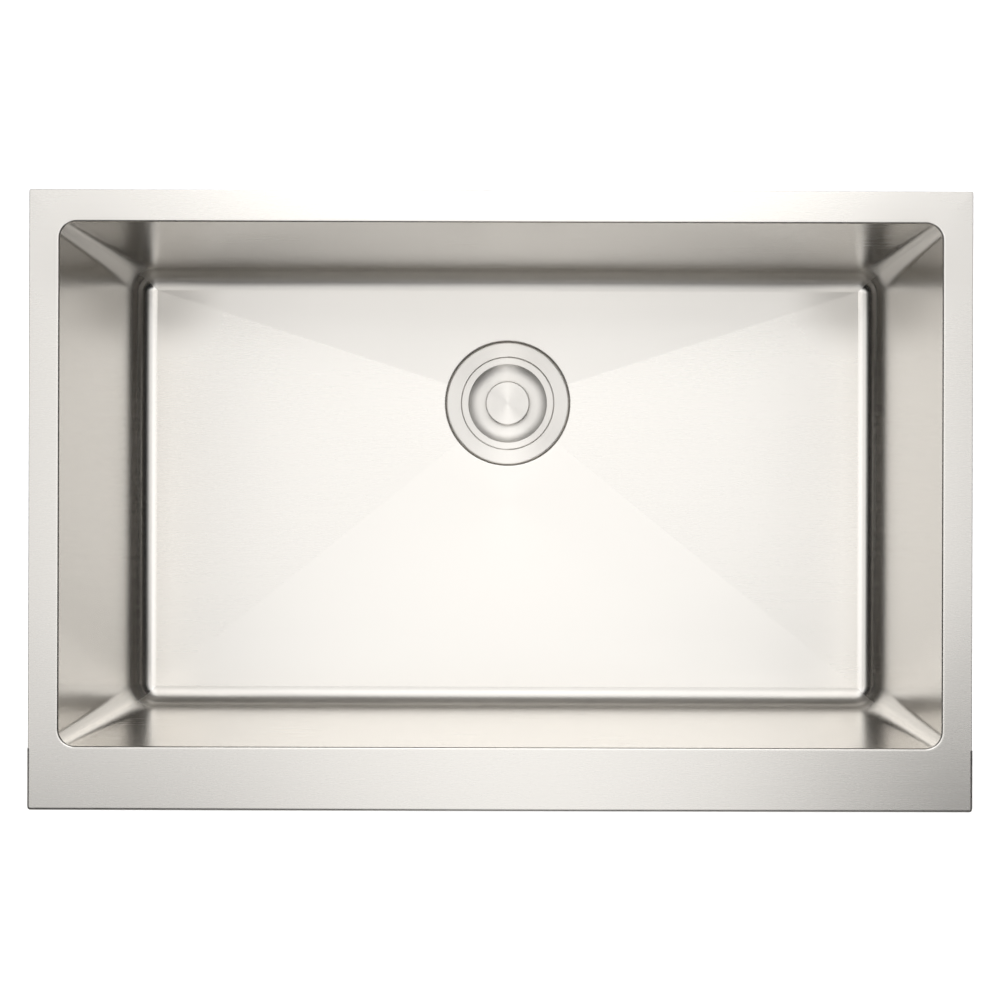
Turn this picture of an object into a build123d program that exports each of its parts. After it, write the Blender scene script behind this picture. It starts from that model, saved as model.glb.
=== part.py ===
from build123d import *
import math
import os

# Apron-front stainless steel kitchen sink with a basket strainer, in millimetres.
# The origin is the centre of the bowl opening, level with the top of the rim.
# +X runs to the right, +Y to the back and +Z up.

# Bowl
bowl_length = 711.2
bowl_width = 422.4
bowl_depth = 228.6
sheet = 1.5
wall_lean = 2.0
corner_radius = 13.4
floor_bend = 16.5
lip_bend = 2.5
floor_fall = 6.0

# Rim and front deck
side_rim = 24.4
back_rim = 26.0
front_deck = 51.8
rim_corner = 1.5
rim_edge = 0.6
rim_seam = 4.0

# Apron panel
apron_height = 254.0
apron_proud = 1.0
apron_return = 50.0
apron_hem = 18.0
apron_corner = 3.0
apron_bend = 2.5

# Sound pads
pad_thickness = 4.0
pad_corner = 8.0
wall_pad_drop = 48.0
wall_pad_rise = 60.0
side_pad_margin = 61.0
long_pad_margin = 95.0
floor_pad_margin = 22.0
floor_pad_gap = 15.0
apron_pad_margin = 42.0

# Strainer cup
drain_to_back = 129.8
drain_sheet = 1.2
flange_diameter = 116.6
flange_roll = 1.8
flange_seat_gap = 0.3
flange_lift = 0.4
mouth_radius = 43.9
mouth_bend = 0.8
shoulder_drop = 2.2
shoulder_width = 2.5
cup_bend = 6.0
seat_hole_radius = 17.0
outlet_bore_radius = 20.5
outlet_wall = 3.2
outlet_length = 22.0
outlet_flange_reach = 4.0
outlet_flange = 1.5
cross_drop = 8.0
cross_height = 5.0
cross_arm = 3.0
cross_hub_wall = 3.0
cross_arms = 4

# Drain recess in the floor
recess_clearance = 0.6
recess_edge = 1.0
recess_bend = 0.6
hole_clearance = 0.5

# Seals and nuts under the floor
gasket_margin = 0.3
washer_reach = 10.4
rubber_washer_thickness = 3.0
friction_washer_thickness = 0.8
locknut_height = 12.0
locknut_wall = 6.0
locknut_skirt_reach = 8.4
locknut_skirt = 2.0
locknut_lugs = 6
locknut_lug_width = 8.0
locknut_lug_reach = 6.2
thread_clearance = 0.15

# Outlet fittings
tail_washer_thickness = 1.6
tail_radius = 19.05
tail_wall = 0.9
tail_length = 102.0
tail_flange_clearance = 0.7
tail_flange = 1.2
tail_neck = 6.0
tail_neck_step = 0.6
slip_nut_wall = 3.2
slip_nut_height = 17.0
slip_nut_lip = 3.0
slip_nut_ribs = 8
slip_nut_rib_width = 5.0
slip_nut_rib_reach = 2.6
tail_clearance = 0.3

# Basket
basket_sheet = 0.8
basket_clearance = 0.3
basket_sink = 0.4
basket_wall_gap = 3.2
basket_depth = 16.0
basket_rim_edge = 0.5
saucer_depth = 3.6
saucer_slope = 34.0
saucer_bend = 18.0
well_radius = 18.0
well_edge = 1.2
well_bend = 2.5
wall_hole_diameter = 3.2
wall_hole_drop = 5.5
wall_holes = 12
base_hole_diameter = 5.0
base_hole_circle_radius = 12.2
base_holes = 8

# Bush, post, knob and stopper
post_radius = 3.0
post_clearance = 0.08
post_hub_clearance = 0.5
post_tip = 2.0
post_entry = 2.5
bush_wall = 1.8
bush_flange_reach = 2.6
bush_flange = 1.2
bush_clearance = 0.1
collar_step = 2.0
collar_height = 17.0
knob_radius = 20.9
knob_rise = 2.5
knob_height = 4.5
knob_edge = 1.4
knob_wall = 1.5
knob_boss_wall = 2.4
knob_boss_drop = 2.0
seal_overlap = 7.0
seal_thickness = 5.0
seal_chamfer = 2.0
seal_gap = 0.3
seal_washer_inset = 6.0
seal_washer_thickness = 1.0
stem_nut_across = 10.0
stem_nut_height = 4.5
stopper_travel = 8.0
stop_gap = 0.3

# Lean of the bowl's walls, and how far inside the opening the flat floor starts
lean = math.radians(wall_lean)
floor_edge = floor_bend * math.cos(lean)
floor_edge += (bowl_depth - floor_bend * (1 - math.sin(lean))) * math.tan(lean)

# Places of the bowl, rim and apron
half_length = bowl_length / 2
half_width = bowl_width / 2
rim_x = half_length + side_rim
apron_x = rim_x + apron_proud
rim_back = half_width + back_rim
deck_front = -half_width - front_deck
return_back = deck_front + apron_return

# Radii of the drain pieces
drain_y = half_width - drain_to_back
flange_radius = flange_diameter / 2
recess_radius = flange_radius + recess_clearance
mouth_outer = mouth_radius + drain_sheet
hole_radius = mouth_outer + hole_clearance
cup_radius = mouth_radius - shoulder_width
cup_outer = cup_radius + drain_sheet
thread_bore = cup_outer + thread_clearance
washer_radius = hole_radius + washer_reach
skirt_radius = hole_radius + locknut_skirt_reach
outlet_radius = outlet_bore_radius + outlet_wall
basket_radius = cup_radius - basket_wall_gap - basket_sheet
post_bore = post_radius + post_clearance
bush_radius = post_bore + bush_wall
seal_radius = seat_hole_radius + seal_overlap

# Heights of the drain pieces
flange_z = -bowl_depth - floor_fall + flange_lift
seat_z = flange_z - flange_roll - flange_seat_gap
under_seat_z = seat_z - sheet
shoulder_z = flange_z - shoulder_drop
basket_z = flange_z - basket_sink
saucer_z = basket_z - saucer_depth
basket_base_z = basket_z - basket_depth
knob_z = flange_z + knob_rise
basket_under_z = basket_base_z - basket_sheet
collar_top_z = basket_under_z - bush_flange - stop_gap - stopper_travel
collar_z = collar_top_z - collar_height
seal_z = collar_z - seal_washer_thickness - seal_thickness
cup_floor_z = seal_z - seal_gap
cup_under_z = cup_floor_z - drain_sheet
cross_z = cup_floor_z - cross_drop
outlet_z = cup_under_z - outlet_length
tail_top_z = outlet_z - tail_washer_thickness


def corner_box(x0, x1, y0, y1, z0, z1):
    """Box between two corners, each axis given as low and high."""
    middle = Pos((x0 + x1) / 2, (y0 + y1) / 2, (z0 + z1) / 2)
    return middle * Box(x1 - x0, y1 - y0, z1 - z0)


def floor_pyramid(depth):
    """Shallow four-sided pyramid that the floor falls into, its tip at the drain."""
    x, y = half_length - floor_edge, half_width - floor_edge
    top = -depth + floor_bend / 2
    corners = [(-x, -y), (x, -y), (x, y), (-x, y)]
    upper = [Vector(px, py, top) for px, py in corners]
    lower = [Vector(px, py, -depth) for px, py in corners]
    tip = Vector(0, drain_y, -depth - floor_fall)
    faces = [Face(Wire.make_polygon(upper))]
    for i in range(4):
        j = (i + 1) % 4
        faces.append(Face(Wire.make_polygon([upper[i], upper[j], lower[j], lower[i]])))
        faces.append(Face(Wire.make_polygon([lower[i], lower[j], tip])))
    return Solid(Shell(faces))


def bowl_form(grow):
    """Solid that fills the bowl, with its walls and floor moved outwards by grow."""
    depth = bowl_depth + grow
    side = grow / math.cos(lean)
    top = Rectangle(bowl_length + 2 * side, bowl_width + 2 * side)
    form = extrude(top, -depth, taper=wall_lean)
    form = fillet(form.edges().group_by(Axis.Z)[0], floor_bend + grow)
    walls = form.edges().filter_by_position(Axis.Z, -depth * 0.6, -depth * 0.4)
    return fillet(walls, corner_radius + grow) + floor_pyramid(depth)


def turned(corners):
    """Solid turned round the drain axis from corners of radius, height and rounding."""
    face = make_face(Polyline([(r, z) for r, z, rounding in corners], close=True))
    for r, z, rounding in corners:
        if rounding:
            corner = face.vertices().sort_by_distance((r, z, 0))[0]
            face = fillet(corner, rounding)
    return Pos(0, drain_y, 0) * revolve(Plane.XZ * face, Axis.Z)


def ring(inner, outer, low, high):
    """Plain ring on the drain axis."""
    return turned([(inner, low, 0), (outer, low, 0), (outer, high, 0), (inner, high, 0)])


def bore(radius, low, high):
    """Cylinder on the drain axis, to be cut from a piece."""
    return Pos(0, drain_y, (low + high) / 2) * Cylinder(radius, high - low)


def round_drain(count, piece, first=0.0):
    """Copies of a piece made at the origin, set evenly round the drain axis."""
    step = 360 / count
    return [Pos(0, drain_y, 0) * Rot(0, 0, first + i * step) * piece for i in range(count)]


def opening_edges(body, height, reach):
    """Edges of a body at one height that run round the bowl opening, reach outside it."""
    x, y, near = half_length + reach, half_width + reach, 0.01
    level = body.edges().filter_by_position(Axis.Z, height - near, height + near)
    level = level.filter_by_position(Axis.X, -x - near, x + near)
    return level.filter_by_position(Axis.Y, -y - near, y + near)


def recess_form(grow):
    """Round pocket for the flange, which opens into the floor's facets."""
    wall, low, high = recess_radius + grow, seat_z - grow, -bowl_depth + floor_bend / 2
    return turned([(0, low, 0), (wall, low, recess_bend + grow), (wall, high, 0), (0, high, 0)])


def sink_shell():
    """Bowl, rim and front deck: sheet bent at the lip and pressed at the drain."""
    plate = corner_box(-rim_x, rim_x, deck_front, rim_back, -sheet, 0)
    back_corners = plate.edges().filter_by(Axis.Z).group_by(Axis.Y)[-1]
    plate = fillet(back_corners, rim_corner)
    plate = fillet(plate.faces().sort_by(Axis.Z)[-1].edges(), rim_edge)
    for side in (-1, 1):
        edge = sorted([side * (apron_x - apron_bend), side * (apron_x + 1)])
        plate -= corner_box(*edge, deck_front - 1, return_back, -sheet - 1, 1)
    plate -= corner_box(-rim_x - 1, rim_x + 1, deck_front - 1, deck_front + apron_bend,
                        -sheet - 1, 1)
    inside = bowl_form(0) + recess_form(0)
    mouth = inside.edges().filter_by(GeomType.ELLIPSE)
    mouth = mouth.filter_by_position(Axis.Z, seat_z, -bowl_depth - 1)
    body = plate + bowl_form(sheet) + recess_form(sheet) - fillet(mouth, recess_edge)
    body -= bore(hole_radius, under_seat_z - 1, seat_z + 1)
    body = fillet(opening_edges(body, 0, 0), lip_bend)
    return fillet(opening_edges(body, -sheet, sheet), lip_bend - sheet)


def shell_pieces():
    """The shell parted at its welds: rim with front deck, band of walls, and floor pan."""
    shell = sink_shell()
    pan_z = floor_bend - bowl_depth
    levels = {
        "rim_deck": (-rim_seam, 1),
        "bowl_walls": (pan_z, -rim_seam),
        "bowl_floor": (under_seat_z - 1, pan_z),
    }
    return {
        name: shell & corner_box(-rim_x - 1, rim_x + 1, deck_front - 1, rim_back + 1, low, high)
        for name, (low, high) in levels.items()
    }


def apron_form(inset):
    """Block behind the apron's skin, its faces moved inwards by inset."""
    back = return_back + (1 if inset else 0)
    block = corner_box(-apron_x + inset, apron_x - inset, deck_front + inset, back,
                       -apron_height + inset, -inset)
    block = fillet(block.edges().filter_by(Axis.Z).group_by(Axis.Y)[0], apron_corner - inset)
    front_loop = [e for level in (0, -1) for e in block.edges().group_by(Axis.Z)[level]
                  if e.center().Y < back - 0.01]
    return fillet(front_loop, apron_bend - inset)


def apron_panel():
    """Front panel with a bent top edge, side returns and a hem along the bottom."""
    panel = apron_form(0) - apron_form(sheet)
    top_x = apron_x - apron_bend
    panel -= corner_box(-top_x, top_x, deck_front + apron_bend, return_back + 1,
                        -apron_bend, 1)
    hem_x = apron_x - apron_hem
    panel -= corner_box(-hem_x, hem_x, deck_front + apron_hem, return_back + 1,
                        -apron_height - 1, -apron_height + apron_bend)
    return panel


def flat_pad(length, height, place):
    """Sheet of sound-deadening rubber stuck to a flat face, with rounded corners."""
    return extrude(place * RectangleRounded(length, height, pad_corner), pad_thickness)


def wall_pads():
    """One pad on the outside of each bowl wall and one behind the apron's face."""
    height = bowl_depth - wall_pad_drop - wall_pad_rise
    side, long = bowl_width - 2 * side_pad_margin, bowl_length - 2 * long_pad_margin
    z = -wall_pad_drop - height / 2
    reach = sheet / math.cos(lean) + z * math.tan(lean)
    x, y = half_length + reach, half_width + reach
    out, down = math.cos(lean), -math.sin(lean)
    left = Plane((-x, 0, z), x_dir=(0, 1, 0), z_dir=(-out, 0, down))
    right = Plane((x, 0, z), x_dir=(0, 1, 0), z_dir=(out, 0, down))
    back = Plane((0, y, z), x_dir=(1, 0, 0), z_dir=(0, out, down))
    front = Plane((0, -y, z), x_dir=(1, 0, 0), z_dir=(0, -out, down))
    apron = Plane((0, deck_front + sheet, -apron_height / 2), x_dir=(1, 0, 0), z_dir=(0, 1, 0))
    apron_length = 2 * (apron_x - apron_pad_margin)
    return {
        "pad_wall_left": flat_pad(side, height, left),
        "pad_wall_right": flat_pad(side, height, right),
        "pad_wall_back": flat_pad(long, height, back),
        "pad_wall_front": flat_pad(long, height, front),
        "pad_apron": flat_pad(apron_length, apron_height - 2 * apron_pad_margin, apron),
    }


def floor_pads():
    """Pads that follow the underside of the floor, clear of the strainer's nut."""
    skin = bowl_form(sheet + pad_thickness) - bowl_form(sheet)
    near_x = washer_radius + floor_pad_gap
    far_x = half_length - floor_edge - floor_pad_margin
    far_y = half_width - floor_edge - floor_pad_margin
    low = -bowl_depth - 2 * floor_bend

    def pad(x0, x1, y0, y1):
        middle = Pos((x0 + x1) / 2, (y0 + y1) / 2, low)
        return skin & extrude(middle * RectangleRounded(x1 - x0, y1 - y0, pad_corner), -low)

    return {
        "pad_floor_left": pad(-far_x, -near_x, -far_y, far_y),
        "pad_floor_right": pad(near_x, far_x, -far_y, far_y),
        "pad_floor_front": pad(-near_x + floor_pad_gap, near_x - floor_pad_gap,
                               -far_y, drain_y - near_x),
    }


def strainer_cup():
    """Drawn drain body: rolled flange, shoulder for the basket, and cup."""
    flange_inner = flange_radius - drain_sheet
    return turned([
        (flange_radius, flange_z - flange_roll, 0),
        (flange_radius, flange_z, flange_roll - 0.01),
        (mouth_radius, flange_z, mouth_bend),
        (mouth_radius, shoulder_z, 0),
        (cup_radius, shoulder_z, 0),
        (cup_radius, cup_floor_z, cup_bend),
        (seat_hole_radius, cup_floor_z, 0),
        (seat_hole_radius, cup_under_z, 0),
        (cup_outer, cup_under_z, cup_bend + drain_sheet),
        (cup_outer, shoulder_z - drain_sheet, 0),
        (mouth_outer, shoulder_z - drain_sheet, 0),
        (mouth_outer, flange_z - drain_sheet, 0),
        (flange_inner, flange_z - drain_sheet, flange_roll - drain_sheet - 0.01),
        (flange_inner, flange_z - flange_roll, 0),
    ])


def outlet_spud():
    """Threaded outlet with a flange that is fixed under the cup's floor."""
    tube = ring(outlet_bore_radius, outlet_radius, outlet_z, cup_under_z)
    reach = outlet_radius + outlet_flange_reach
    return tube + ring(outlet_bore_radius, reach, cup_under_z - outlet_flange, cup_under_z)


def crosspiece():
    """Arms across the outlet's bore, with a hub that guides the post."""
    low = cross_z - cross_height
    hub_bore = post_radius + post_hub_clearance
    cross = bore(hub_bore + cross_hub_wall, low, cross_z)
    arm = corner_box(0, outlet_radius, -cross_arm / 2, cross_arm / 2, low, cross_z)
    for one in round_drain(cross_arms, arm, 180 / cross_arms):
        cross += one
    cross &= bore(outlet_bore_radius, low, cross_z)
    return cross - bore(hub_bore, low - 1, cross_z + 1)


def flange_gasket():
    """Foam ring between the strainer flange and its seat in the floor."""
    inner = hole_radius + gasket_margin
    outer = flange_radius - flange_roll - gasket_margin
    return ring(inner, outer, seat_z, flange_z - drain_sheet)


def under_washers():
    """Rubber washer under the floor, and the slip washer that the nut turns on."""
    middle = under_seat_z - rubber_washer_thickness
    low = middle - friction_washer_thickness
    return {
        "rubber_washer": ring(thread_bore, washer_radius, middle, under_seat_z),
        "friction_washer": ring(thread_bore, skirt_radius, low, middle),
    }


def locknut():
    """Lugged ring nut that clamps the strainer from below, with a skirt at its top."""
    high = under_seat_z - rubber_washer_thickness - friction_washer_thickness
    low = high - locknut_height
    outer = thread_bore + locknut_wall
    nut = ring(thread_bore, outer, low, high)
    nut += ring(thread_bore, skirt_radius, high - locknut_skirt, high)
    lug = corner_box(outer - locknut_wall / 2, outer + locknut_lug_reach,
                     -locknut_lug_width / 2, locknut_lug_width / 2, low, high - locknut_skirt)
    for one in round_drain(locknut_lugs, lug):
        nut += one
    return nut


def slip_nut():
    """Ribbed coupling nut that draws the tailpiece up to the outlet."""
    middle = tail_top_z - tail_flange
    low = middle - slip_nut_lip
    high = low + slip_nut_height
    inner = outlet_radius + thread_clearance
    outer = inner + slip_nut_wall
    nut = ring(inner, outer, middle, high)
    nut += ring(tail_radius + tail_neck_step + tail_clearance, outer, low, middle)
    rib = corner_box(outer - slip_nut_wall / 2, outer + slip_nut_rib_reach,
                     -slip_nut_rib_width / 2, slip_nut_rib_width / 2, low, high)
    for one in round_drain(slip_nut_ribs, rib):
        nut += one
    return nut


def tail_fittings():
    """Flanged outlet tube, and the washer between it and the cup's outlet."""
    inner, flange = tail_radius - tail_wall, outlet_radius - tail_flange_clearance
    under_flange = tail_top_z - tail_flange
    tube = ring(inner, tail_radius, tail_top_z - tail_length, tail_top_z)
    tube += ring(inner, tail_radius + tail_neck_step, under_flange - tail_neck, under_flange)
    return {
        "tail_washer": ring(outlet_bore_radius, flange, tail_top_z, outlet_z),
        "tailpiece": tube + ring(inner, flange, under_flange, tail_top_z),
    }


def basket():
    """Drawn basket: flat rim and shallow saucer, with a holed well under the knob."""
    rim_outer, outer_sheet = mouth_radius - basket_clearance, well_radius + basket_sheet
    bush_hole = bush_radius + bush_clearance
    slope = math.radians(saucer_slope)
    saucer_radius = basket_radius - saucer_depth / math.tan(slope)
    shift = basket_sheet * math.tan(slope / 2)
    body = turned([
        (rim_outer, shoulder_z, 0),
        (rim_outer, basket_z, basket_rim_edge),
        (basket_radius, basket_z, basket_rim_edge),
        (saucer_radius, saucer_z, saucer_bend),
        (well_radius, saucer_z, well_edge),
        (well_radius, basket_base_z, well_bend),
        (bush_hole, basket_base_z, 0),
        (bush_hole, basket_under_z, 0),
        (outer_sheet, basket_under_z, well_bend + basket_sheet),
        (outer_sheet, saucer_z - basket_sheet, well_edge - basket_sheet),
        (saucer_radius + shift, saucer_z - basket_sheet, saucer_bend + basket_sheet),
        (basket_radius + shift, basket_z - basket_sheet, 0),
        (rim_outer - basket_sheet, basket_z - basket_sheet, 0),
        (rim_outer - basket_sheet, shoulder_z, 0),
    ])
    through = 4 * basket_sheet
    drill = Rot(0, 90, 0) * Cylinder(wall_hole_diameter / 2, through)
    drill = Pos(well_radius + basket_sheet / 2, 0, saucer_z - wall_hole_drop) * drill
    body -= round_drain(wall_holes, drill)
    drill = Cylinder(base_hole_diameter / 2, through)
    drill = Pos(base_hole_circle_radius, 0, basket_base_z - basket_sheet / 2) * drill
    return body - round_drain(base_holes, drill)


def basket_bush():
    """Nylon bush in the basket's base, flanged on both sides, that grips the post."""
    low, high = basket_under_z - bush_flange, basket_base_z + bush_flange
    flange = bush_radius + bush_flange_reach
    return turned([
        (post_bore, low, 0),
        (flange, low, 0),
        (flange, basket_under_z, 0),
        (bush_radius, basket_under_z, 0),
        (bush_radius, basket_base_z, 0),
        (flange, basket_base_z, 0),
        (flange, high, 0),
        (post_bore, high, 0),
    ])


def knob():
    """Drawn cap with a flat top and a boss that the post screws into."""
    skirt_z = knob_z - knob_height
    boss_z = skirt_z - knob_boss_drop
    boss_radius = post_bore + knob_boss_wall
    return turned([
        (0, knob_z, 0),
        (knob_radius, knob_z, knob_edge),
        (knob_radius, skirt_z, 0),
        (knob_radius - knob_wall, skirt_z, 0),
        (knob_radius - knob_wall, knob_z - knob_wall, 0),
        (boss_radius, knob_z - knob_wall, 0),
        (boss_radius, boss_z, 0),
        (post_bore, boss_z, 0),
        (post_bore, knob_z - post_entry, 0),
        (0, knob_z - post_entry, 0),
    ])


def post():
    """Rod from the knob to the crosspiece, with a collar that stops the stopper's lift."""
    rod = bore(post_radius, cross_z - cross_height - post_tip, knob_z - post_entry)
    return rod + bore(post_radius + collar_step, collar_z, collar_top_z)


def stopper_seal():
    """Rubber disc that closes the hole in the cup's floor."""
    high = seal_z + seal_thickness
    return turned([
        (post_bore, seal_z, 0),
        (seal_radius - seal_chamfer, seal_z, 0),
        (seal_radius, seal_z + seal_chamfer, 0),
        (seal_radius, high, 0),
        (post_bore, high, 0),
    ])


def seal_washer():
    """Steel disc that backs the rubber."""
    return ring(post_bore, seal_radius - seal_washer_inset, seal_z + seal_thickness, collar_z)


def stem_nut():
    """Hexagon nut that holds the rubber disc on the post."""
    hexagon = RegularPolygon(stem_nut_across / 2, 6, major_radius=False)
    nut = extrude(Pos(0, drain_y, seal_z - stem_nut_height) * hexagon, stem_nut_height)
    return nut - bore(post_bore, seal_z - stem_nut_height - 1, seal_z + 1)


pieces = {
    **shell_pieces(),
    "apron_panel": apron_panel(),
    **wall_pads(),
    **floor_pads(),
    "strainer_cup": strainer_cup(),
    "outlet_spud": outlet_spud(),
    "crosspiece": crosspiece(),
    "flange_gasket": flange_gasket(),
    **under_washers(),
    "locknut": locknut(),
    **tail_fittings(),
    "slip_nut": slip_nut(),
    "basket": basket(),
    "basket_bush": basket_bush(),
    "knob": knob(),
    "post": post(),
    "stopper_seal": stopper_seal(),
    "seal_washer": seal_washer(),
    "stem_nut": stem_nut(),
}

os.makedirs("parts", exist_ok=True)
for name, piece in pieces.items():
    export_step(piece, f"parts/{name}.step")
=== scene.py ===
import bpy
import bmesh
import math
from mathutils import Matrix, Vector


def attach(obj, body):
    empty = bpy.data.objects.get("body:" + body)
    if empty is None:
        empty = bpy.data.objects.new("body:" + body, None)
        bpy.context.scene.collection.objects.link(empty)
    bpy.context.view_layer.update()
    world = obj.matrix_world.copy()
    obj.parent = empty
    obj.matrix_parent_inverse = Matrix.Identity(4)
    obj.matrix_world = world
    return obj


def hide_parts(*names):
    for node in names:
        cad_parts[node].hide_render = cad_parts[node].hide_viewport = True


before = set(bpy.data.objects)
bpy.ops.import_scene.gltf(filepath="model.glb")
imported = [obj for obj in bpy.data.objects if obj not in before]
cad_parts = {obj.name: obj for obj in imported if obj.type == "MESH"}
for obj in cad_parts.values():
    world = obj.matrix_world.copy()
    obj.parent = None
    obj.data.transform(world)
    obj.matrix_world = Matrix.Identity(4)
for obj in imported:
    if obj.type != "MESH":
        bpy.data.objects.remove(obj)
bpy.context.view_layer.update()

# Sink shell: bowl, flat rim and front deck of 1.5 mm stainless sheet, welded and ground flush.
# The floor falls in four flat facets to a pressed seat for the drain. The inside and the rim
# are brushed to a satin finish, and the outside keeps the duller finish of the rolled sheet.
mm = 0.001  # the shell's sizes are in millimetres, and all finishes are laid out in metres
half_length, half_width, bowl_depth = 355.6, 211.2, 228.6
sheet, lean = 1.5, math.radians(2.0)
corner_radius, corner_growth = 13.4, 8.5
lip_bend, lip_border, floor_bend, floor_border = 1.6, 1.0, 16.5, 1.5
inside_heights, outside_height = (-60, -120, -170), -120
lip_steps, bend_steps = 8, 18
bend_top = floor_bend * (1 - math.sin(lean)) - bowl_depth
floor_edge_inset = floor_bend * math.cos(lean) - bend_top * math.tan(lean)
corner_steps, long_steps, short_steps = 16, 48, 28


def opening_outline():
    """Points round the opening, anticlockwise. Each is a share of the core rectangle between the
    corners' centres, an outward direction, and the corner's number, or None, with its step."""
    points = []
    for corner, (ux, uy) in enumerate([(1, 1), (-1, 1), (-1, -1), (1, -1)]):
        for k in range(corner_steps + 1):
            turn = math.radians(90 * (corner + k / corner_steps))
            points.append((ux, uy, math.cos(turn), math.sin(turn), corner, k))
        steps = short_steps if corner % 2 else long_steps
        nx, ny = [(0, 1), (-1, 0), (0, -1), (1, 0)][corner]
        for k in range(1, steps):
            slide = 1 - 2 * k / steps
            along = [(slide, 1), (-1, slide), (-slide, -1), (1, -slide)][corner]
            points.append((*along, nx, ny, None, k))
    return points


def arc(start, end, steps):
    """Angles in radians, from start to end in degrees."""
    return [math.radians(start + (end - start) * i / steps) for i in range(steps + 1)]


outline = opening_outline()


def wall_ring(inset, radius, z):
    """Ring parallel to the opening, moved inwards by inset, with that corner radius."""
    x, y = half_length - inset - radius, half_width - inset - radius
    return [Vector((ux * x + nx * radius, uy * y + ny * radius, z))
            for ux, uy, nx, ny, *_ in outline]


def rim_border(z):
    """Ring on the flat of the rim, just outside the lip's bend."""
    out = lip_bend + lip_border
    return wall_ring(-out, corner_radius + out, z)


def lip_arc(bend, steps):
    """Rings round the lip's bend, from the flat of the rim to the leaning wall."""
    reach = lip_bend / math.cos(lean) - lip_bend * math.tan(lean)
    for turn in arc(0, 90 - math.degrees(lean), steps):
        inset = bend * math.sin(turn) - reach
        yield wall_ring(inset, corner_radius - inset, bend * math.cos(turn) - lip_bend)


def corner_at(z):
    """Radius of the upright corners at a height; it grows towards the floor."""
    return corner_radius + corner_growth * max(-z - lip_bend - lip_border, 0) / bowl_depth


def wall_at(z, thickness=0.0):
    """Ring round the leaning walls at a height, or that thickness of sheet outside them."""
    return wall_ring(-z * math.tan(lean) - thickness / math.cos(lean),
                     corner_at(z) + thickness, z)


def floor_arc(thickness, steps):
    """Rings round the bend from wall to floor; the corners close up as it goes."""
    bend, corner = floor_bend + thickness, corner_at(bend_top) + thickness
    for turn in arc(math.degrees(lean), 90, steps):
        yield wall_ring(floor_edge_inset - bend * math.cos(turn),
                        corner * math.cos(turn) / math.cos(lean),
                        floor_bend - bowl_depth - bend * math.sin(turn))


drain_y, tip_z = 81.4, -234.6
floor_fall = -tip_z - bowl_depth
seat_radius, seat_edge, seat_z, seat_bend, drain_hole = 58.9, 1.0, -236.3, 0.6, 45.6
mouth_steps, seat_steps, under_steps = 5, 3, 4
mouth_radius = seat_radius + seat_edge
drain_axis = Vector((0, drain_y, 0))
spokes = [Vector((ux * (half_length - floor_edge_inset), uy * (half_width - floor_edge_inset), 0))
          - drain_axis for ux, uy, *_ in outline]


def facet_point(spoke, out, drop=0.0):
    """Place on the floor's facets at that distance from the drain axis, or below it by drop."""
    height = tip_z + floor_fall * out / spoke.length - drop
    return drain_axis + spoke.normalized() * out + Vector((0, 0, height))


def facet_ring(drop=0.0):
    """Ring on the facets, just inside the floor's bend."""
    return [facet_point(spoke, spoke.length - floor_border, drop) for spoke in spokes]


def mouth_ring(radius, drop=0.0):
    """Round ring on the facets, or below them, where the floor turns down into the seat."""
    return [facet_point(spoke, radius, drop) for spoke in spokes]


def seat_ring(radius, z):
    """Level ring round the drain axis, its points on the floor's spokes."""
    return [drain_axis + spoke.normalized() * radius + Vector((0, 0, z)) for spoke in spokes]


rim_x, rim_back, deck_front = 380.0, 237.2, -260.5
rim_corner, least_corner, rim_edge, rim_edge_border = 1.5, 0.3, 0.6, 0.4
notch_x, notch_y, notch_steps, straight_steps, edge_steps = 378.5, -213.0, 8, 5, 4
core_x, core_y = half_length - corner_radius, half_width - corner_radius
rim_shares = (0.7, 0.4, 0.15)


def back_corner(step, inset):
    """Place on the plate's outer edge at a back corner, steps counted from the side."""
    x, back, rounding = rim_x - inset, rim_back - inset, max(rim_corner - inset, least_corner)
    if step < straight_steps:
        return x, core_y + (back - rounding - core_y) * step / straight_steps
    if step > corner_steps - straight_steps:
        along = (corner_steps - step) / straight_steps
        return core_x + (x - rounding - core_x) * along, back
    turn = math.pi / 2 * (step - straight_steps) / (corner_steps - 2 * straight_steps)
    return x - rounding * (1 - math.cos(turn)), back - rounding * (1 - math.sin(turn))


def front_corner(step, inset):
    """The same at a front corner, notched where the apron's return stands beside it."""
    if step < 2:
        return rim_x - inset, (-core_y, notch_y)[step]
    if step <= notch_steps:
        return notch_x, notch_y + (deck_front - notch_y) * (step - 2) / (notch_steps - 2)
    along = (corner_steps - step) / (corner_steps - notch_steps)
    return core_x + (notch_x - core_x) * along, deck_front


def rim_ring(inset, z):
    """Ring along the plate's outer edge, moved inwards by inset, but not along the apron."""
    ring = []
    for ux, uy, nx, ny, corner, k in outline:
        if corner is not None:
            step = corner_steps - k if corner % 2 else k
            x, y = (back_corner if uy > 0 else front_corner)(step, inset)
            ring.append(Vector((ux * x, y, z)))
        elif nx:
            ring.append(Vector((nx * (rim_x - inset), uy * core_y, z)))
        else:
            ring.append(Vector((ux * core_x, rim_back - inset if ny > 0 else deck_front, z)))
    return ring


def inside_rings():
    """Rim border, lip, walls, bend and facets, each with the finish of the band it ends."""
    yield rim_border(0), "flat"
    for ring in lip_arc(lip_bend, lip_steps):
        yield ring, "flat"
    for z in (-lip_bend - lip_border, *inside_heights, bend_top + lip_border):
        yield wall_at(z), "wall"
    for ring in floor_arc(0, bend_steps):
        yield ring, "wall"
    yield facet_ring(), "flat"


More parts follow.
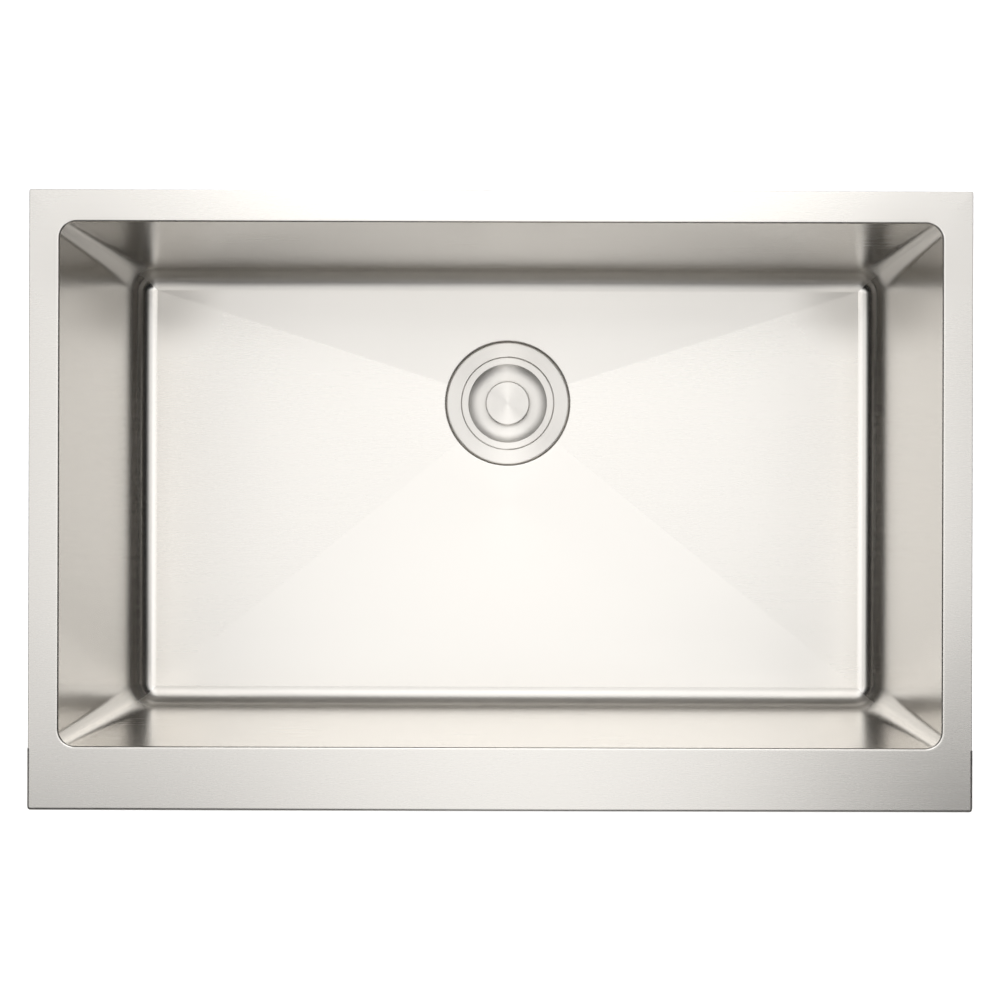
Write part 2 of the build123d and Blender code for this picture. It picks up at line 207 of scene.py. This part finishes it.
def drain_rings():
    """The seat for the drain, down from the facets, through its hole and up underneath."""
    yield mouth_ring(mouth_radius + floor_border), "flat"
    for turn in arc(0, 90, mouth_steps):
        yield mouth_ring(mouth_radius - seat_edge * math.sin(turn),
                         seat_edge * (1 - math.cos(turn))), "flat"
    for turn in arc(0, 90, seat_steps):
        yield seat_ring(seat_radius - seat_bend * (1 - math.cos(turn)),
                        seat_z + seat_bend * (1 - math.sin(turn))), "flat"
    for z in (seat_z, seat_z - sheet):
        yield seat_ring(drain_hole, z), "flat"
    under_radius, under_bend = seat_radius + sheet, seat_bend + sheet
    for turn in arc(0, 90, under_steps):
        yield seat_ring(under_radius - under_bend * (1 - math.sin(turn)),
                        seat_z + seat_bend - under_bend * math.cos(turn)), "outside"
    for radius in (under_radius, under_radius + floor_border):
        yield mouth_ring(radius, sheet), "outside"


def outside_rings():
    """The underside of the facets, the bend, the walls' outer faces and under the rim."""
    yield facet_ring(sheet), "outside"
    for ring in reversed(list(floor_arc(sheet, bend_steps // 2))):
        yield ring, "outside"
    for z in (bend_top + lip_border, outside_height, -lip_bend - lip_border):
        yield wall_at(z, sheet), "outside"
    for ring in reversed(list(lip_arc(lip_bend - sheet, lip_steps // 2))):
        yield ring, "outside"
    yield rim_border(-sheet), "outside"
    yield rim_ring(0, -sheet), "outside"


def rim_rings():
    """The plate's rounded outer edge and its top, back to the border beside the lip."""
    for turn in arc(0, 90, edge_steps)[1:]:
        yield rim_ring(rim_edge * (1 - math.cos(turn)), -rim_edge * (1 - math.sin(turn))), "flat"
    edge = rim_ring(rim_edge + rim_edge_border, 0)
    yield edge, "flat"
    for share in rim_shares:
        yield [inner.lerp(outer, share) for inner, outer in zip(rim_border(0), edge)], "flat"


rim_droop, droop_run, top_skin, weld_distance = 0.22, 60, -0.7, 0.002


def fall_of_rim(place):
    """How far the top of the rim falls towards its outer edge, at a place on it."""
    across = max((abs(place.x) - half_length) / (rim_x - half_length),
                 (place.y - half_width) / (rim_back - half_width), 0)
    past_notch = min(max((place.y - notch_y) / droop_run, 0), 1)
    return rim_droop * min(across, 1) ** 2 * past_notch


def swept_shell(rings, band_of):
    """Closed shell: one loop drawn from ring to ring, and bridged back to its start."""
    work = bmesh.new()
    bmesh.ops.create_circle(work, segments=len(outline), radius=1)
    work.verts.ensure_lookup_table()
    loop = list(work.verts)
    for vert, place in zip(loop, rings[0][0]):
        vert.co = place
    edges = list(work.edges)
    first = edges
    for places, finish in rings[1:]:
        drawn = bmesh.ops.extrude_edge_only(work, edges=edges)["geom"]
        fresh = {g for g in drawn if isinstance(g, bmesh.types.BMVert)}
        loop = [next(e.other_vert(v) for e in v.link_edges if e.other_vert(v) in fresh)
                for v in loop]
        for vert, place in zip(loop, places):
            vert.co = place
        edges = [g for g in drawn if isinstance(g, bmesh.types.BMEdge)
                 and all(v in fresh for v in g.verts)]
        for face in drawn:
            if isinstance(face, bmesh.types.BMFace):
                face.material_index = band_of[finish]
    bmesh.ops.bridge_loops(work, edges=first + edges)
    for vert in work.verts:
        if vert.co.z > top_skin and vert.co.y > notch_y:
            vert.co.z -= fall_of_rim(vert.co)
    bmesh.ops.remove_doubles(work, verts=work.verts, dist=weld_distance)
    bmesh.ops.recalc_face_normals(work, faces=work.faces)
    for face in work.faces:
        if face.material_index == band_of["wall"]:
            middle = face.calc_center_median()
            if abs(middle.x) - core_x > abs(middle.y) - core_y:
                face.material_index = band_of["end wall"]
    return work


class Tone:
    """A value in a material's nodes. Arithmetic on tones adds Math nodes."""

    def __init__(self, socket):
        self.socket = socket

    def node(self, kind, settings=None, values=None, out=0):
        """Any other node: its settings first, then the values or links of its sockets."""
        tree = self.socket.id_data
        made = tree.nodes.new(kind)
        for name, setting in (settings or {}).items():
            setattr(made, name, setting)
        for name, value in (values or {}).items():
            if isinstance(value, Tone):
                tree.links.new(value.socket, made.inputs[name])
            else:
                made.inputs[name].default_value = value
        return Tone(made.outputs[out])

    def maths(self, operation, first, second=0.0):
        """Math node of that operation."""
        return self.node("ShaderNodeMath", {"operation": operation}, {0: first, 1: second})

    def split(self):
        """The three parts of a vector."""
        parts = self.node("ShaderNodeSeparateXYZ", {}, {0: self}).socket.node
        return [Tone(socket) for socket in parts.outputs]

    def __abs__(self):
        return self.maths("ABSOLUTE", self)

    def __add__(self, other):
        return self.maths("ADD", self, other)

    def __mul__(self, other):
        return self.maths("MULTIPLY", self, other)

    def __sub__(self, other):
        return self.maths("SUBTRACT", self, other)

    def __rsub__(self, other):
        return self.maths("SUBTRACT", other, self)

    def __truediv__(self, other):
        return self.maths("DIVIDE", self, other)

    def __pow__(self, other):
        return self.maths("POWER", self, other)

    __radd__, __rmul__ = __add__, __mul__

    def feed(self, shader, name):
        """Links the value to a socket of the shader."""
        self.socket.id_data.links.new(self.socket, shader.inputs[name])


def new_finish(name, **constants):
    """Material with its shader's constant sockets set, and the piece's own coordinates."""
    finish = bpy.data.materials.new(name)
    finish.use_nodes = True
    shader = finish.node_tree.nodes["Principled BSDF"]
    for socket, value in constants.items():
        shader.inputs[socket.replace("_", " ")].default_value = value
    place = finish.node_tree.nodes.new("ShaderNodeTexCoord").outputs["Object"]
    return finish, shader, Tone(place)


def noise(place, scale, detail=2.0, roughness=0.5, stretch=(1, 1, 1), shift=(0, 0, 0)):
    """Noise from 0 to 1 with about that many spots to a metre; a stretch below 1 draws them out
    along that axis."""
    spot = place.node("ShaderNodeMapping", {}, {"Vector": place, "Scale": stretch,
                                                "Location": shift})
    return spot.node("ShaderNodeTexNoise", {}, {"Vector": spot, "Scale": scale, "Detail": detail,
                                                "Roughness": roughness})


def blend_colours(share, low, high):
    """Colour from low to high as share goes from 0 to 1."""
    return share.node("ShaderNodeMix", {"data_type": "RGBA"},
                      {"Factor": share, 6: (*low, 1), 7: (*high, 1)}, out=2)


def emboss(height, depth, strength=1.0, **under):
    """Bump of that depth in metres, over another one where it is given as Normal."""
    return height.node("ShaderNodeBump", {}, {"Strength": strength, "Distance": depth,
                                              "Height": height, **under})


def fade(tone, start, end, low, high):
    """Smooth step from low to high as the tone goes from start to end."""
    return tone.node("ShaderNodeMapRange", {"interpolation_type": "SMOOTHSTEP"},
                     {"Value": tone, "From Min": start, "From Max": end,
                      "To Min": low, "To Max": high})


def sheet_steel(name, along, rough, spread=0.0, dulling=None, grain_depth=4e-6, wave_depth=6e-5,
                dark=(0.775, 0.750, 0.710), pale=(0.825, 0.799, 0.760)):
    """Brushed sheet: fine lines along one axis, soft clouds, and a slight wave in the metal."""
    finish, shader, place = new_finish(name, Metallic=1.0, Anisotropic=spread,
                                       Anisotropic_Rotation=0.25)
    drawn_out = tuple(0.03 if axis == along else 1.0 for axis in "xyz")
    hair = noise(place, 1900, detail=3, roughness=0.6, stretch=drawn_out)
    streak = noise(place, 260, stretch=drawn_out, shift=(3, 7, 1))
    cloud = noise(place, 7, shift=(1, 4, 2))
    blend_colours(hair * 0.35 + streak * 0.25 + cloud * 0.4, dark, pale).feed(shader, "Base Color")
    sheen = rough - 0.05 + hair * 0.05 + streak * 0.03 + cloud * 0.04
    if dulling:
        sheen = sheen + dulling(*place.split())
    sheen.feed(shader, "Roughness")
    wave = emboss(noise(place, 5, detail=1, roughness=0.4, shift=(8, 1, 6)), wave_depth)
    emboss(hair + streak * 0.6, grain_depth, Normal=wave).feed(shader, "Normal")
    return finish


dull_x, dull_y, dull_core, dull_reach, corner_dulling = 0.325, 0.18, 0.005, 0.065, 0.17
crease_width, back_facet_dulling, front_facet_sheen = 0.001, 0.045, 0.027
floor_zone_low, floor_zone_high = -0.2, -0.19
back_crease, front_crease = (
    (half_width - floor_edge_inset + side * drain_y) / (half_length - floor_edge_inset)
    for side in (-1, 1))


def floor_dulling(x, y, z):
    """Duller back corners, and a back facet brushed duller and a front one brighter than the
    two beside the drain, so that the creases between them show."""
    aside, from_drain = abs(x), y - drain_y * mm
    from_patch = ((aside - dull_x) ** 2 + (y - dull_y) ** 2) ** 0.5
    corner = fade(from_patch, dull_core, dull_reach, corner_dulling, 0.0)
    back = fade(from_drain - aside * back_crease, -crease_width, crease_width,
                0.0, back_facet_dulling)
    front = fade(from_drain + aside * front_crease, -crease_width, crease_width,
                 front_facet_sheen, 0.0)
    return corner + (back - front) * fade(z, floor_zone_low, floor_zone_high, 1.0, 0.0)


bend_zone_low, bend_zone_high, bend_dulling = -0.218, -0.197, 0.12
wall_grain, wall_wave = 3e-7, 2e-5
flat_steel = sheet_steel("brushed_sheet_lengthways", "x", rough=0.26, spread=0.4,
                         dulling=floor_dulling, grain_depth=1.2e-6)
wall_steel = sheet_steel(
    "brushed_sheet_long_walls", "x", rough=0.25, grain_depth=wall_grain, wave_depth=wall_wave,
    dulling=lambda x, y, z: fade(z, bend_zone_low, bend_zone_high, bend_dulling, 0.0))
# The end walls are the same sheet as the long walls, brushed the other way; their paler colour is
# painted light, standing in for the brighter light that falls on them.
end_wall_steel_painted_lighter = sheet_steel("brushed_sheet_end_walls_painted_lighter", "y", rough=0.21, grain_depth=wall_grain,
                             wave_depth=wall_wave, dark=(0.81, 0.785, 0.745),
                             pale=(0.86, 0.833, 0.795))
outside_steel = sheet_steel("rolled_sheet_outside", "x", rough=0.42, grain_depth=2e-6,
                            dark=(0.60, 0.59, 0.57), pale=(0.68, 0.67, 0.65))

sharp_from = math.radians(35)
shell_rings = [*inside_rings(), *drain_rings(), *outside_rings(), *rim_rings()]
work = swept_shell(shell_rings, {"flat": 0, "wall": 1, "end wall": 2, "outside": 3})
bmesh.ops.scale(work, vec=(mm, mm, mm), verts=work.verts)
for face in work.faces:
    face.smooth = True
shell_mesh = bpy.data.meshes.new("sink_shell")
work.to_mesh(shell_mesh)
work.free()
shell_mesh.set_sharp_from_angle(angle=sharp_from)
for finish in (flat_steel, wall_steel, end_wall_steel_painted_lighter, outside_steel):
    shell_mesh.materials.append(finish)
sink_shell = bpy.data.objects.new("sink_shell", shell_mesh)
bpy.context.collection.objects.link(sink_shell)
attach(sink_shell, "root")
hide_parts("rim_deck", "bowl_walls", "bowl_floor")


# Apron panel: the broad front of the sink, folded from the same sheet, with a rounded top edge
# welded to the front deck, a return down each side and a hem along the bottom. It is brushed
# along its length.
def dress(nodes, finish):
    """Gives CAD pieces whose shape is right their finish."""
    for node in nodes:
        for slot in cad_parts[node].material_slots:
            slot.material = finish


dress(["apron_panel"], sheet_steel("brushed_apron", "x", rough=0.27, spread=0.4))


# Sound pads: slabs of black rubber, 4 mm thick, glued to the outside of the walls, under the
# floor and behind the apron, to damp the noise of water and dishes.
def rubber(name, dark, pale, rough, grain, depth):
    """Matte rubber with a fine pebbled skin and a dusty bloom."""
    finish, shader, place = new_finish(name)
    pebble = noise(place, grain, detail=3, roughness=0.6)
    bloom = noise(place, 14, detail=3, roughness=0.55, shift=(2, 5, 3))
    blend_colours(pebble * 0.4 + bloom * 0.6, dark, pale).feed(shader, "Base Color")
    (rough + pebble * 0.1 - bloom * 0.06).feed(shader, "Roughness")
    emboss(pebble, depth, strength=0.8).feed(shader, "Normal")
    return finish


dress(["pad_wall_left", "pad_wall_right", "pad_wall_back", "pad_wall_front", "pad_apron",
       "pad_floor_left", "pad_floor_right", "pad_floor_front"],
      rubber("pad_rubber", dark=(0.018, 0.018, 0.018), pale=(0.055, 0.053, 0.05),
             rough=0.62, grain=900, depth=2e-4))


# Strainer cup, outlet and crosspiece: the drain body is drawn from stainless sheet, with a wide
# flange rolled over at its edge that sits in the floor's seat. It is brushed in circles.
def turned_steel(name, rough, spread, dark=(0.85, 0.822, 0.777), pale=(0.91, 0.882, 0.837),
                 grain_depth=3e-6):
    """Steel brushed in circles round the drain axis: the noise runs outwards and hardly round."""
    finish, shader, place = new_finish(name, Metallic=1.0, Anisotropic=spread,
                                       Anisotropic_Rotation=0.25)
    x, y, z = place.split()
    y = y - drain_y * mm
    least_out, round_drift = 1e-6, 0.0012
    out = (x * x + y * y) ** 0.5 + least_out
    spot = place.node("ShaderNodeCombineXYZ", {}, {0: out + z, 1: x / out * round_drift,
                                                   2: y / out * round_drift})
    hair = noise(spot, 2600, detail=3, roughness=0.6)
    streak = noise(spot, 420, shift=(3, 7, 1))
    blend_colours(hair * 0.6 + streak * 0.4, dark, pale).feed(shader, "Base Color")
    (rough - 0.04 + hair * 0.05 + streak * 0.04).feed(shader, "Roughness")
    emboss(hair + streak * 0.6, grain_depth).feed(shader, "Normal")
    return finish


drain_steel = turned_steel("circular_brushed_drain", rough=0.325, spread=0.93)
dress(["strainer_cup", "outlet_spud", "crosspiece"], drain_steel)


# Seals and washers: foam ring under the flange, rubber washer under the floor, and the pressed
# fibre washer that lets the nut turn without dragging the rubber round.
dress(["flange_gasket", "rubber_washer"],
      rubber("seal_rubber", dark=(0.012, 0.012, 0.012), pale=(0.035, 0.034, 0.033),
             rough=0.5, grain=1800, depth=6e-5))


def fibre(name, dark, pale):
    """Pressed board with short fibres."""
    finish, shader, place = new_finish(name)
    strand = noise(place, 420, detail=4, roughness=0.65, stretch=(1, 0.25, 1))
    fleck = noise(place, 1500, shift=(4, 2, 1))
    blend_colours(strand * 0.7 + fleck * 0.3, dark, pale).feed(shader, "Base Color")
    (0.72 + fleck * 0.12).feed(shader, "Roughness")
    emboss(strand + fleck * 0.5, depth=1e-4, strength=0.6).feed(shader, "Normal")
    return finish


dress(["friction_washer"],
      fibre("pressed_fibre", dark=(0.40, 0.27, 0.16), pale=(0.66, 0.50, 0.34)))


# Locknut: a ring of die-cast zinc with six lugs for the wrench. It runs up the thread of the
# drain body and clamps the floor between its skirt and the flange.
def cast_metal(name, dark, pale, rough):
    """Dull die-cast metal with a sandy skin."""
    finish, shader, place = new_finish(name, Metallic=1.0)
    grit = noise(place, 1300, detail=4, roughness=0.6)
    patch = noise(place, 60, shift=(6, 1, 3))
    blend_colours(grit * 0.5 + patch * 0.5, dark, pale).feed(shader, "Base Color")
    (rough + grit * 0.12 - patch * 0.08).feed(shader, "Roughness")
    emboss(grit, depth=6e-5, strength=0.7).feed(shader, "Normal")
    return finish


dress(["locknut"],
      cast_metal("cast_zinc", dark=(0.40, 0.41, 0.42), pale=(0.58, 0.59, 0.60), rough=0.42))


# Outlet: a tailpiece of chrome-plated brass tube with a flange at its top. A ribbed nut of the
# same metal draws it up to the drain's outlet, with a moulded nylon washer between them.
def plated(name, tint, rough):
    """Bright plating over brass, with faint polishing lines."""
    finish, shader, place = new_finish(name, Metallic=1.0)
    haze = noise(place, 90, detail=3, stretch=(1, 1, 0.3))
    polish = noise(place, 2200, stretch=(1, 1, 0.05), shift=(5, 3, 2))
    blend_colours(haze, tuple(0.93 * c for c in tint), tint).feed(shader, "Base Color")
    (rough + haze * 0.07 + polish * 0.03).feed(shader, "Roughness")
    emboss(polish, depth=2e-6, strength=0.4).feed(shader, "Normal")
    return finish


def moulded(name, dark, pale):
    """Off-white moulded nylon."""
    finish, shader, place = new_finish(name, Subsurface_Weight=0.05)
    mottle = noise(place, 130, detail=3)
    skin = noise(place, 1600, shift=(2, 2, 7))
    blend_colours(mottle, dark, pale).feed(shader, "Base Color")
    (0.40 + skin * 0.12).feed(shader, "Roughness")
    emboss(skin, depth=2e-5, strength=0.3).feed(shader, "Normal")
    return finish


dress(["tailpiece", "slip_nut"], plated("chrome_on_brass", tint=(0.80, 0.80, 0.81), rough=0.10))
nylon = moulded("off_white_nylon", dark=(0.74, 0.72, 0.66), pale=(0.84, 0.83, 0.78))
dress(["tail_washer"], nylon)


# Basket and bush: the lift-out basket is a shallow holed dish with a flat rim, pressed from
# stainless sheet. A nylon bush snapped into its middle grips the post.
dress(["basket"], drain_steel)
dress(["basket_bush"], nylon)


# Knob, post and stopper: the round flat-topped knob is screwed to a steel post that carries
# the rubber disc, its backing washer and a hexagon nut.
dress(["knob"],
      turned_steel("circular_brushed_knob", rough=0.30, spread=0.97, grain_depth=4e-6))
dress(["post", "seal_washer", "stem_nut"], turned_steel("turned_post", rough=0.16, spread=0.3))
dress(["stopper_seal"],
      rubber("stopper_rubber", dark=(0.012, 0.012, 0.012), pale=(0.035, 0.034, 0.033),
             rough=0.45, grain=1600, depth=5e-5))


# Studio: plain white floor under the sink, soft lights overhead that are strongest towards the
# back, a pale band along the horizon that rises higher in front and behind, and the camera
# straight above, as in the photograph.
floor_z, floor_reach = -0.4115, 8.0
floor_seen, floor_mirrored = 0.85, 0.4
work = bmesh.new()
bmesh.ops.create_grid(work, x_segments=2, y_segments=2, size=floor_reach)
bmesh.ops.translate(work, vec=(0, 0, floor_z), verts=work.verts)
floor_mesh = bpy.data.meshes.new("studio_floor")
work.to_mesh(floor_mesh)
work.free()
studio_floor = bpy.data.objects.new("studio_floor", floor_mesh)
bpy.context.collection.objects.link(studio_floor)


def rays(owner):
    """Whether a ray comes from the camera, off gloss or through glass, as three values."""
    path = owner.node_tree.nodes.new("ShaderNodeLightPath")
    return [Tone(path.outputs[f"Is {kind} Ray"]) for kind in ("Camera", "Glossy", "Transmission")]


floor_paint = bpy.data.materials.new("floor_paint")
floor_paint.use_nodes = True
floor_mesh.materials.append(floor_paint)
paint = floor_paint.node_tree.nodes["Principled BSDF"]
paint.inputs["Base Color"].default_value = (0.9, 0.9, 0.9, 1)
paint.inputs["Roughness"].default_value = 0.9
paint.inputs["Emission Color"].default_value = (1, 1, 1, 1)
seen, glossy, through = rays(floor_paint)
(seen * floor_seen + (glossy + through) * floor_mirrored).feed(paint, "Emission Strength")

low_glow, front_glow, back_glow, sky_glow = 0.9, 1.3, 0.68, 0.12
low_top, high_top, end_near, end_far = (0.14, 0.24), (0.42, 0.54), 0.55, 0.85
studio = bpy.data.worlds.new("studio")
bpy.context.scene.world = studio
studio.use_nodes = True
direction = Tone(studio.node_tree.nodes.new("ShaderNodeTexCoord").outputs["Generated"])
_, ahead, up = direction.split()
front = fade(ahead, -end_far, -end_near, 1.0, 0.0)
back = fade(ahead, end_near, end_far, 0.0, 1.0)
low_band = fade(up, *low_top, low_glow, 0.0)
high_band = fade(up, *high_top, 1.0, 0.0) * (front * front_glow + back * back_glow)
seen = rays(studio)[0]
((low_band + high_band + sky_glow) * (1 - seen) + seen).feed(
    studio.node_tree.nodes["Background"], "Strength")

for name, width, length, place, brightness in (
        ("wide_light", 9.2, 3.6, (-0.2, 1.2, 3.51), 0.22),
        ("top_light", 5.75, 3.66, (-0.225, 1.13, 3.5), 0.68),
        ("front_edge_light", 4.05, 0.45, (-1.075, -0.925, 3.5), 0.72),
        ("middle_light", 1.9, 1.75, (0.0, -0.275, 3.49), 0.43),
        ("back_light", 2.1, 2.0, (0.0, 1.95, 3.49), 1.1),
        ("far_light", 3.4, 3.4, (0.0, 4.65, 3.5), 1.7),
        ("front_light", 1.9, 2.0, (0.0, -1.95, 3.5), 0.67),
        ("front_strip", 0.85, 5.4, (0.0, -3.65, 3.49), 0.4),
        ("left_light", 2.0, 3.9, (-1.95, 1.0, 3.48), 0.08)):
    lamp = bpy.data.lights.new(name, "AREA")
    lamp.shape = "RECTANGLE"
    lamp.size, lamp.size_y = width, length
    lamp.energy = brightness * math.pi * width * length
    light = bpy.data.objects.new(name, lamp)
    light.location = place
    bpy.context.collection.objects.link(light)

sensor_width, focal_length = 36, 57.816
lens = bpy.data.cameras.new("camera")
lens.sensor_width, lens.lens = sensor_width, focal_length
lens.shift_x, lens.shift_y = -0.045, 0.0113
camera = bpy.data.objects.new("camera", lens)
camera.location = (0.0358, -0.0211, 1.292)
camera.rotation_euler = (0, 0, math.radians(0.16))
bpy.context.collection.objects.link(camera)
bpy.context.scene.camera = camera
bpy.context.scene.view_settings.view_transform = "Standard"

bpy.context.view_layer.update()
